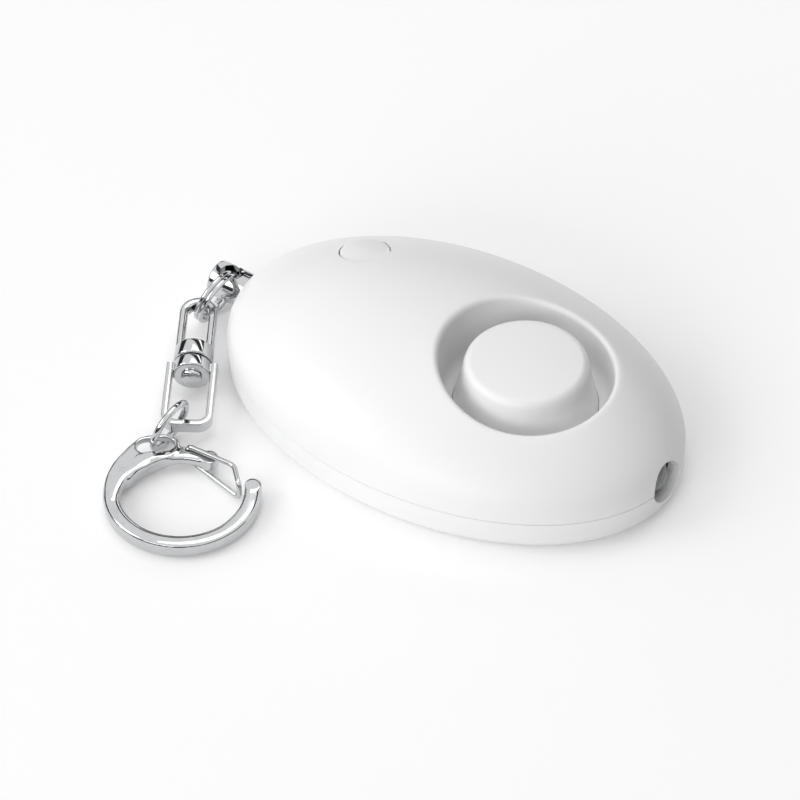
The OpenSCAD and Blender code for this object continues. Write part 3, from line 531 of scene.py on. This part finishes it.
jumpRing = {"at": (-26.3113, -26.077, 3.8147), "lean": 14.0, "radius": 3.4, "wire": 0.48, "slit": 3.0}
# each station of ring, arm and band is angle, radius, low, high and width
hook = {"at": (-19.2345, -33.1401, 0.0), "turn": 34.0, "noseRadius": 1.1,
        "armCentre": (-0.5, -1.5), "armRadius": 8.0, "armEnd": 62.0,
        "ring": [(140.0, 9.0, 0.12, 2.35, 2.1), (220.0, 9.0, 0.12, 2.38, 2.15), (310.0, 9.0, 0.12, 2.4, 2.15),
                 (345.0, 9.0, 0.12, 2.6, 2.2), (363.0, 9.0, 0.12, 2.7, 2.2)],
        "arm": [(174.0, 8.3, 0.8, 1.7, 0.7), (150.0, 8.0, 0.3, 2.5, 2.1), (116.0, 8.0, 0.25, 2.95, 2.3),
                (95.0, 8.0, 0.95, 2.5, 2.4), (62.0, 8.0, 0.95, 2.45, 2.3)], "bossRadius": 1.2,
        "band": [(214.0, 9.0, 0.8, 2.0, 0.9), (192.0, 8.98, 0.9, 2.4, 1.95), (165.0, 8.6, 1.2, 2.62, 2.9),
                 (140.0, 8.0, 1.6, 2.7, 4.2), (122.0, 8.16, 1.8, 2.72, 5.02), (106.0, 7.8, 1.75, 2.7, 4.4),
                 (97.0, 7.6, 1.75, 2.6, 2.8), (94.0, 7.6, 1.75, 2.5, 1.6)],
        "eyeAt": (-3.675, 7.52), "eyeTurn": 8.5, "eyeLength": 4.92, "eyeWidth": 2.55,
        "voxel": 0.11, "ease": 7, "cutLow": -2, "cutHeight": 8, "postCut": 12}
gate = {"pivot": (0.542, 6.986), "corner": (6.5, 3.5), "end": (7.2, 0.2), "high": 2.92, "low": 0.48,
        "wire": 0.35, "pin": 0.9, "bend": 0.7, "bendSteps": 8, "play": 0.08}


def spot(at, turn=0.0, lean=0.0):
    return (Matrix.Translation(at) @ Matrix.Rotation(math.radians(turn), 4, "Z")
            @ Matrix.Rotation(math.radians(lean), 4, "Y"))


def roundLoop(bm, width, height, corner, at):
    made = bmesh.ops.create_grid(bm, x_segments=1, y_segments=1, size=0.5)["verts"]
    bmesh.ops.scale(bm, verts=made, vec=(width, height, 1))
    rounded = bmesh.ops.bevel(bm, geom=made, offset=corner, segments=4, profile=0.5, affect="VERTICES",
                              material=-1)
    face = [f for f in bm.faces if all(v in set(rounded["verts"]) for v in f.verts)][0]
    edges = list(face.edges)
    bmesh.ops.delete(bm, geom=[face], context="FACES_ONLY")
    verts = list({v for e in edges for v in e.verts})
    bmesh.ops.transform(bm, matrix=at, verts=verts)
    return edges


def runOn(bm, edges, move):
    made = bmesh.ops.extrude_edge_only(bm, edges=edges)["geom"]
    verts = [g for g in made if isinstance(g, bmesh.types.BMVert)]
    bmesh.ops.translate(bm, verts=verts, vec=move)
    return [g for g in made if isinstance(g, bmesh.types.BMEdge) and all(v in set(verts) for v in g.verts)]


def bendOn(bm, edges, centre, axis, angle, steps, rise=0.0):
    verts = list({v for e in edges for v in e.verts})
    made = bmesh.ops.spin(bm, geom=verts + list(edges), cent=centre, axis=axis, dvec=(0, 0, rise / steps),
                          angle=math.radians(angle), steps=steps, use_merge=False, use_duplicate=False)
    return [g for g in made["geom_last"] if isinstance(g, bmesh.types.BMEdge)]


def ringLoop(bm, radius, wire, at):
    made = bmesh.ops.create_circle(bm, segments=20, radius=wire)["verts"]
    bmesh.ops.rotate(bm, verts=made, cent=(0, 0, 0), matrix=Matrix.Rotation(math.pi / 2, 3, "X"))
    bmesh.ops.translate(bm, verts=made, vec=(radius, 0, at))
    return list({e for v in made for e in v.link_edges})


def capEnds(bm):
    bmesh.ops.holes_fill(bm, edges=[e for e in bm.edges if len(e.link_faces) == 1], sides=0)


def drumProfile(back, front, radius, edge=0.3):
    points = [(back, 0, 0), (back, 0, radius - edge)]
    points += [(back + edge - edge * math.cos(a), 0, radius - edge + edge * math.sin(a))
               for a in [math.radians(22.5 * i) for i in range(1, 5)]]
    points += [(front - edge + edge * math.sin(a), 0, radius - edge + edge * math.cos(a))
               for a in [math.radians(22.5 * i) for i in range(5)]]
    return points + [(front, 0, 0)]


def chainSplitRing():
    bm = bmesh.new()
    r, step = splitRing["radius"], splitRing["step"]
    start = Matrix.Rotation(math.radians(splitRing["start"]), 3, "Z")
    edges = ringLoop(bm, r, splitRing["wire"], -step)
    bmesh.ops.rotate(bm, verts=bm.verts, cent=(0, 0, 0), matrix=start)
    edges = bendOn(bm, edges, (0, 0, 0), (0, 0, 1), splitRing["lap"], 84)
    edges = bendOn(bm, edges, (0, 0, 0), (0, 0, 1), splitRing["crossing"], 12, 2 * step)
    bendOn(bm, edges, (0, 0, 0), (0, 0, 1), splitRing["lap"], 84)
    capEnds(bm)
    upright = spot(splitRing["at"], splitRing["turn"], splitRing["lean"] + 90)
    bmesh.ops.transform(bm, matrix=upright, verts=bm.verts)
    finishPiece("split_ring_coil", bm, "split_ring", chromePlate, ["split_ring"])


def chainJumpRing():
    bm = bmesh.new()
    edges = ringLoop(bm, jumpRing["radius"], jumpRing["wire"], 0)
    bendOn(bm, edges, (0, 0, 0), (0, 0, 1), 360 - jumpRing["slit"], 96)
    capEnds(bm)
    bmesh.ops.transform(bm, matrix=spot(jumpRing["at"], 0, jumpRing["lean"] + 90), verts=bm.verts)
    finishPiece("jump_ring_wire", bm, "jump_ring", chromePlate, ["jump_ring"])


def chainSwivel():
    onSwivel = spot(swivel["at"], swivel["turn"], swivel["slope"])
    sideways = Matrix.Rotation(math.pi / 2, 4, "Y") @ Matrix.Rotation(math.pi / 2, 4, "Z")
    bm = bmesh.new()
    reach = loop["width"] / 2 - loop["bar"] / 2
    archX = loop["width"] / 2 - loop["top"]
    start = Matrix.Translation((loop["root"], reach, 0)) @ sideways
    edges = roundLoop(bm, loop["bar"], loop["depth"], loop["corner"], start)
    edges = runOn(bm, edges, (archX - loop["root"], 0, 0))
    edges = bendOn(bm, edges, (archX, 0, 0), (0, 0, 1), 180, 32)
    runOn(bm, edges, (loop["root"] - archX, 0, 0))
    drum = drumProfile(loop["drumBack"], loop["drumFront"], loop["drumRadius"])
    spinProfile(bm, drum, steps=64, axis=(1, 0, 0))
    bmesh.ops.transform(bm, matrix=onSwivel, verts=bm.verts)
    finishPiece("swivel_loop_bar", bm, "swivel_top", chromePlate, ["swivel_loop"])
    bm = bmesh.new()
    x, r, h = rivet["headX"], rivet["headRadius"], rivet["headHeight"]
    brim, tail = rivet["brim"], rivet["tail"]
    dome = [(x + brim + (h - brim) * math.sin(a), 0, r * math.cos(a))
            for a in [math.radians(10 * i) for i in range(10)]]
    shank = [(tail, 0, 0), (tail, 0, rivet["radius"]),
             (x, 0, rivet["radius"]), (x, 0, r - rivet["brimInset"])]
    spinProfile(bm, shank + dome, steps=48, axis=(1, 0, 0))
    bmesh.ops.transform(bm, matrix=onSwivel, verts=bm.verts)
    finishPiece("swivel_rivet_head", bm, "swivel_top", chromePlate, ["swivel_rivet"])
    bm = bmesh.new()
    half = stirrup["width"] / 2 - stirrup["strip"] / 2
    corner = stirrup["corner"] - stirrup["strip"] / 2
    turnX = stirrup["length"] - stirrup["corner"]
    inner = half - corner
    start = Matrix.Translation((stirrup["start"], half, 0)) @ sideways
    edges = roundLoop(bm, stirrup["strip"], stirrup["depth"], stirrup["stripEdge"], start)
    edges = runOn(bm, edges, (turnX - stirrup["start"], 0, 0))
    edges = bendOn(bm, edges, (turnX, inner, 0), (0, 0, 1), -90, 16)
    edges = runOn(bm, edges, (0, -2 * inner, 0))
    edges = bendOn(bm, edges, (turnX, -inner, 0), (0, 0, 1), -90, 16)
    runOn(bm, edges, (stirrup["start"] - turnX, 0, 0))
    capEnds(bm)
    bridge = bmesh.ops.create_cube(bm, size=1.0)["verts"]
    bridgeSize = (stirrup["bridgeLength"], stirrup["width"] - stirrup["bridgeInset"],
                  stirrup["depth"] - stirrup["bridgeThin"])
    bmesh.ops.scale(bm, verts=bridge, vec=bridgeSize)
    bmesh.ops.translate(bm, verts=bridge, vec=(stirrup["bridgeX"], 0, 0))
    drum = drumProfile(stirrup["drumBack"], stirrup["drumFront"], stirrup["drumRadius"])
    spinProfile(bm, drum, steps=64, axis=(1, 0, 0))
    bmesh.ops.transform(bm, matrix=onSwivel, verts=bm.verts)
    finishPiece("swivel_stirrup_strip", bm, "swivel_bottom", chromePlate, ["swivel_stirrup"])


def armBow(bm, stations, centre, steps=10):
    loops = []
    for before, after in zip(stations, stations[1:]):
        for i in range(steps):
            t = i / steps
            t = t * t * (3 - 2 * t)
            angle, radius, low, high, width = [a + (b - a) * t for a, b in zip(before, after)]
            at = (Matrix.Translation((*centre, 0)) @ Matrix.Rotation(math.radians(angle), 4, "Z")
                  @ Matrix.Translation((radius, 0, (low + high) / 2)) @ Matrix.Rotation(math.pi / 2, 4, "X"))
            loops.append(roundLoop(bm, width, high - low, min(0.6, (high - low) / 2.5, width / 2.5), at))
    for before, after in zip(loops, loops[1:]):
        bmesh.ops.bridge_loops(bm, edges=before + after)
    capEnds(bm)


def remeshed(bm, voxel, smooth=0):
    mesh = bpy.data.meshes.new("casting")
    bm.to_mesh(mesh)
    bm.free()
    rough = bpy.data.objects.new("casting", mesh)
    scene.collection.objects.link(rough)
    grid = rough.modifiers.new("grid", "REMESH")
    grid.mode = "VOXEL"
    grid.voxel_size = voxel
    if smooth:
        ease = rough.modifiers.new("ease", "SMOOTH")
        ease.factor = 0.5
        ease.iterations = smooth
    bpy.context.view_layer.update()
    cast = bpy.data.meshes.new_from_object(rough.evaluated_get(bpy.context.evaluated_depsgraph_get()))
    bpy.data.objects.remove(rough)
    bpy.data.meshes.remove(mesh)
    made = bmesh.new()
    made.from_mesh(cast)
    bpy.data.meshes.remove(cast)
    return made


def slotCutter():
    slot = bmesh.new()
    obround = bmesh.ops.create_circle(slot, segments=64, radius=hook["eyeWidth"] / 2, cap_ends=True)["verts"]
    stretch = (hook["eyeLength"] - hook["eyeWidth"]) / 2
    for v in obround:
        v.co.x += stretch if v.co.x > 0 else -stretch
    run = bmesh.ops.extrude_face_region(slot, geom=list(slot.faces))["geom"]
    bmesh.ops.translate(slot, verts=[g for g in run if isinstance(g, bmesh.types.BMVert)],
                        vec=(0, 0, hook["cutHeight"]))
    bmesh.ops.translate(slot, verts=slot.verts, vec=(0, 0, hook["cutLow"]))
    bmesh.ops.transform(slot, matrix=spot((*hook["eyeAt"], 0), hook["eyeTurn"]), verts=slot.verts)
    return finishPiece("cutter", slot, None, chromePlate)


def postCutter(at, radius):
    post = bmesh.new()
    bmesh.ops.create_cone(post, cap_ends=True, segments=32, radius1=radius, radius2=radius,
                          depth=hook["postCut"])
    bmesh.ops.translate(post, verts=post.verts, vec=(*at, 0))
    return finishPiece("cutter", post, None, chromePlate)


def chainHook():
    onHook = spot(hook["at"], hook["turn"])
    body = bmesh.new()
    armBow(body, hook["arm"], hook["armCentre"])
    armBow(body, hook["band"], (0, 0))
    end = math.radians(hook["armEnd"])
    thinLow, thinHigh = hook["arm"][-1][2:4]
    boss = bmesh.ops.create_cone(body, cap_ends=True, segments=48, radius1=hook["bossRadius"],
                                 radius2=hook["bossRadius"], depth=thinHigh - thinLow)["verts"]
    bossAt = (hook["armCentre"][0] + hook["armRadius"] * math.cos(end),
              hook["armCentre"][1] + hook["armRadius"] * math.sin(end), (thinLow + thinHigh) / 2)
    bmesh.ops.translate(body, verts=boss, vec=bossAt)
    armBow(body, hook["ring"], (0, 0), 24)
    turned, radius, noseLow, noseHigh = hook["ring"][-1][:4]
    nose = bmesh.ops.create_cone(body, cap_ends=True, segments=48, radius1=hook["noseRadius"],
                                 radius2=hook["noseRadius"], depth=noseHigh - noseLow)["verts"]
    noseAt = Matrix.Rotation(math.radians(turned), 3, "Z") @ Vector((radius, 0, (noseLow + noseHigh) / 2))
    bmesh.ops.translate(body, verts=nose, vec=noseAt)
    bmesh.ops.recalc_face_normals(body, faces=body.faces)
    joined = remeshed(body, hook["voxel"])
    casting = finishPiece("hook_casting", joined, "hook", chromePlate, ["hook_body"])
    cutBy(casting, [slotCutter(), postCutter(gate["pivot"], gate["wire"] + gate["play"])])
    cut = bmesh.new()
    cut.from_mesh(casting.data)
    bmesh.ops.scale(cut, vec=(1 / mm, 1 / mm, 1 / mm), verts=cut.verts)
    cut = remeshed(cut, hook["voxel"], hook["ease"])
    bmesh.ops.transform(cut, matrix=onHook, verts=cut.verts)
    bmesh.ops.scale(cut, vec=(mm, mm, mm), verts=cut.verts)
    for face in cut.faces:
        face.smooth = True
    cut.to_mesh(casting.data)
    cut.free()
    print("hook casting", len(casting.data.polygons), "faces", len(casting.data.materials), "finish")


def chainGate():
    onHook = spot(hook["at"], hook["turn"])
    high, low = gate["high"], gate["low"]
    corners = [(*gate["pivot"], high - gate["pin"]), (*gate["pivot"], high), (*gate["corner"], high),
               (*gate["end"], high), (*gate["end"], low), (*gate["pivot"], low),
               (*gate["pivot"], low + gate["pin"])]
    along = [i / gate["bendSteps"] for i in range(gate["bendSteps"] + 1)]
    points = [Vector(corners[0])]
    for before, here, after in zip(corners, corners[1:], corners[2:]):
        here = Vector(here)
        leaving = here + (Vector(before) - here).normalized() * gate["bend"]
        going = here + (Vector(after) - here).normalized() * gate["bend"]
        points += [leaving * (1 - t) ** 2 + here * 2 * t * (1 - t) + going * t * t for t in along]
    points.append(Vector(corners[-1]))
    wire = bpy.data.curves.new("gateWire", "CURVE")
    wire.dimensions = "3D"
    wire.bevel_depth = gate["wire"]
    wire.bevel_resolution = 6
    wire.use_fill_caps = True
    spline = wire.splines.new("POLY")
    spline.points.add(len(points) - 1)
    for point, co in zip(spline.points, points):
        point.co = (*co, 1)
    drawn = bpy.data.objects.new("gateWire", wire)
    scene.collection.objects.link(drawn)
    bpy.context.view_layer.update()
    shaped = bpy.data.meshes.new_from_object(drawn.evaluated_get(bpy.context.evaluated_depsgraph_get()))
    bm = bmesh.new()
    bm.from_mesh(shaped)
    bpy.data.objects.remove(drawn)
    bpy.data.meshes.remove(shaped)
    bmesh.ops.transform(bm, matrix=onHook, verts=bm.verts)
    finishPiece("hook_gate_wire", bm, "gate", chromePlate, ["hook_gate"])


chainSplitRing()
chainSwivel()
chainJumpRing()
chainHook()
chainGate()
print("chain done")


# camera, floor and studio light
view = {"azimuth": 33.87, "elevation": 44.55, "distance": 500.0, "focalPixels": 3845.0,
        "slideX": -6.86, "slideY": 1.09, "sensor": 36, "pixels": 800}


def photoCamera():
    az, el = math.radians(view["azimuth"]), math.radians(view["elevation"])
    back = Vector((math.sin(az) * math.cos(el), -math.cos(az) * math.cos(el), math.sin(el)))
    right = Vector((math.cos(az), math.sin(az), 0))
    up = back.cross(right)
    place = (back * view["distance"] + right * view["slideX"] + up * view["slideY"]) * mm
    lens = bpy.data.cameras.new("photoCamera")
    lens.sensor_width = view["sensor"]
    lens.lens = view["focalPixels"] * view["sensor"] / view["pixels"]
    lens.clip_start = 0.01
    camera = bpy.data.objects.new("photoCamera", lens)
    turned = Matrix((right, up, back)).transposed().to_4x4()
    turned.translation = place
    camera.matrix_world = turned
    scene.collection.objects.link(camera)
    scene.camera = camera


studio = {"floorSize": 1.2, "floorColor": 0.93, "floorRough": 0.7, "floorSheen": 0.1, "glow": 0.13,
          "cardTone": 0.06, "dimSide": (0.83, 0.557, 0.0), "dimmest": 0.1, "brightest": 0.75,
          "dimFrom": -0.5, "dimTo": 0.7,
          "cards": [("frontCard", (0.05, -0.3, 0.08), (0.7, 0.13), 0.0, True),
                    ("rightCard", (0.36, 0.0, 0.08), (0.5, 0.13), 90.0, True),
                    ("leftCard", (-0.3, 0.0, 0.08), (0.5, 0.13), 90.0, True),
                    ("backCard", (0.0, 0.32, 0.12), (0.7, 0.2), 0.0, True),
                    ("farStrip", (-0.1, 0.52, 0.5), (1.0, 0.24), 0.0, False)]}


def stagePlane(name, size, at, turn, upright, finish):
    bm = bmesh.new()
    made = bmesh.ops.create_grid(bm, x_segments=2, y_segments=2, size=0.5)["verts"]
    bmesh.ops.scale(bm, verts=made, vec=(size[0], size[1], 1))
    if upright:
        bmesh.ops.rotate(bm, verts=made, cent=(0, 0, 0), matrix=Matrix.Rotation(math.pi / 2, 3, "X"))
    bmesh.ops.rotate(bm, verts=made, cent=(0, 0, 0), matrix=Matrix.Rotation(math.radians(turn), 3, "Z"))
    bmesh.ops.translate(bm, verts=made, vec=at)
    mesh = bpy.data.meshes.new(name)
    bm.to_mesh(mesh)
    bm.free()
    mesh.materials.append(finish)
    plane = bpy.data.objects.new(name, mesh)
    scene.collection.objects.link(plane)
    return plane


def seenDirectly(tree):
    path = tree.nodes.new("ShaderNodeLightPath")
    sharp = tree.nodes.new("ShaderNodeMath")
    sharp.operation = "MAXIMUM"
    tree.links.new(path.outputs["Is Camera Ray"], sharp.inputs[0])
    tree.links.new(path.outputs["Is Glossy Ray"], sharp.inputs[1])
    clear = tree.nodes.new("ShaderNodeMath")
    clear.operation = "MAXIMUM"
    tree.links.new(sharp.outputs[0], clear.inputs[0])
    tree.links.new(path.outputs["Is Transmission Ray"], clear.inputs[1])
    return clear.outputs[0]


def paleFloor():
    mat = bpy.data.materials.new("paleFloor")
    mat.use_nodes = True
    tree = mat.node_tree
    shader = tree.nodes["Principled BSDF"]
    shader.inputs["Base Color"].default_value = (*[studio["floorColor"]] * 3, 1)
    shader.inputs["Roughness"].default_value = studio["floorRough"]
    shader.inputs["Specular IOR Level"].default_value = studio["floorSheen"]
    shader.inputs["Emission Color"].default_value = (1, 1, 1, 1)
    glow = tree.nodes.new("ShaderNodeMath")
    glow.operation = "MULTIPLY"
    glow.inputs[1].default_value = studio["glow"]
    tree.links.new(seenDirectly(tree), glow.inputs[0])
    tree.links.new(glow.outputs[0], shader.inputs["Emission Strength"])
    stagePlane("floor", (studio["floorSize"], studio["floorSize"]), (0, 0, 0), 0, False, mat)
    dark = bpy.data.materials.new("darkCard")
    dark.use_nodes = True
    darkShader = dark.node_tree.nodes["Principled BSDF"]
    darkShader.inputs["Base Color"].default_value = (*[studio["cardTone"]] * 3, 1)
    darkShader.inputs["Specular IOR Level"].default_value = 0.0
    for name, at, size, turn, upright in studio["cards"]:
        card = stagePlane(name, size, at, turn, upright, dark)
        card.visible_camera = False
        card.visible_diffuse = False
        card.visible_shadow = False
        card.visible_transmission = False


# name, place, size and power of each lamp
lights = [("overhead", (-0.05, 0.2, 0.66), (0.45, 0.45), 1.02),
          ("leftKey", (-0.5, -0.4, 0.45), (0.4, 0.4), 1.28),
          ("frontFill", (0.02, -0.7, 0.27), (0.5, 0.3), 1.6),
          ("backRim", (-0.1, 0.65, 0.45), (0.6, 0.2), 0.5)]


def studioLights():
    for name, at, size, power in lights:
        area = bpy.data.lights.new(name, "AREA")
        area.shape = "RECTANGLE"
        area.size, area.size_y = size
        area.energy = power
        softBox = bpy.data.objects.new(name, area)
        aim = Vector((0, 0, 0)) - Vector(at)
        turned = aim.to_track_quat("-Z", "Y").to_matrix().to_4x4()
        turned.translation = Vector(at)
        softBox.matrix_world = turned
        scene.collection.objects.link(softBox)
    world = bpy.data.worlds.new("studio")
    scene.world = world
    world.use_nodes = True
    tree = world.node_tree
    sky = tree.nodes["Background"]
    level = tree.nodes.new("ShaderNodeMapRange")
    level.inputs["To Max"].default_value = 1.0
    where = tree.nodes.new("ShaderNodeTexCoord")
    along = tree.nodes.new("ShaderNodeVectorMath")
    along.operation = "DOT_PRODUCT"
    along.inputs[1].default_value = studio["dimSide"]
    tree.links.new(where.outputs["Generated"], along.inputs[0])
    dim = tree.nodes.new("ShaderNodeMapRange")
    dim.inputs["From Min"].default_value = studio["dimFrom"]
    dim.inputs["From Max"].default_value = studio["dimTo"]
    dim.inputs["To Min"].default_value = studio["brightest"]
    dim.inputs["To Max"].default_value = studio["dimmest"]
    tree.links.new(along.outputs["Value"], dim.inputs["Value"])
    tree.links.new(dim.outputs[0], level.inputs["To Min"])
    tree.links.new(seenDirectly(tree), level.inputs["Value"])
    sky.inputs["Color"].default_value = (1, 1, 1, 1)
    tree.links.new(level.outputs[0], sky.inputs["Strength"])


photoCamera()
paleFloor()
studioLights()
print("camera and light done")
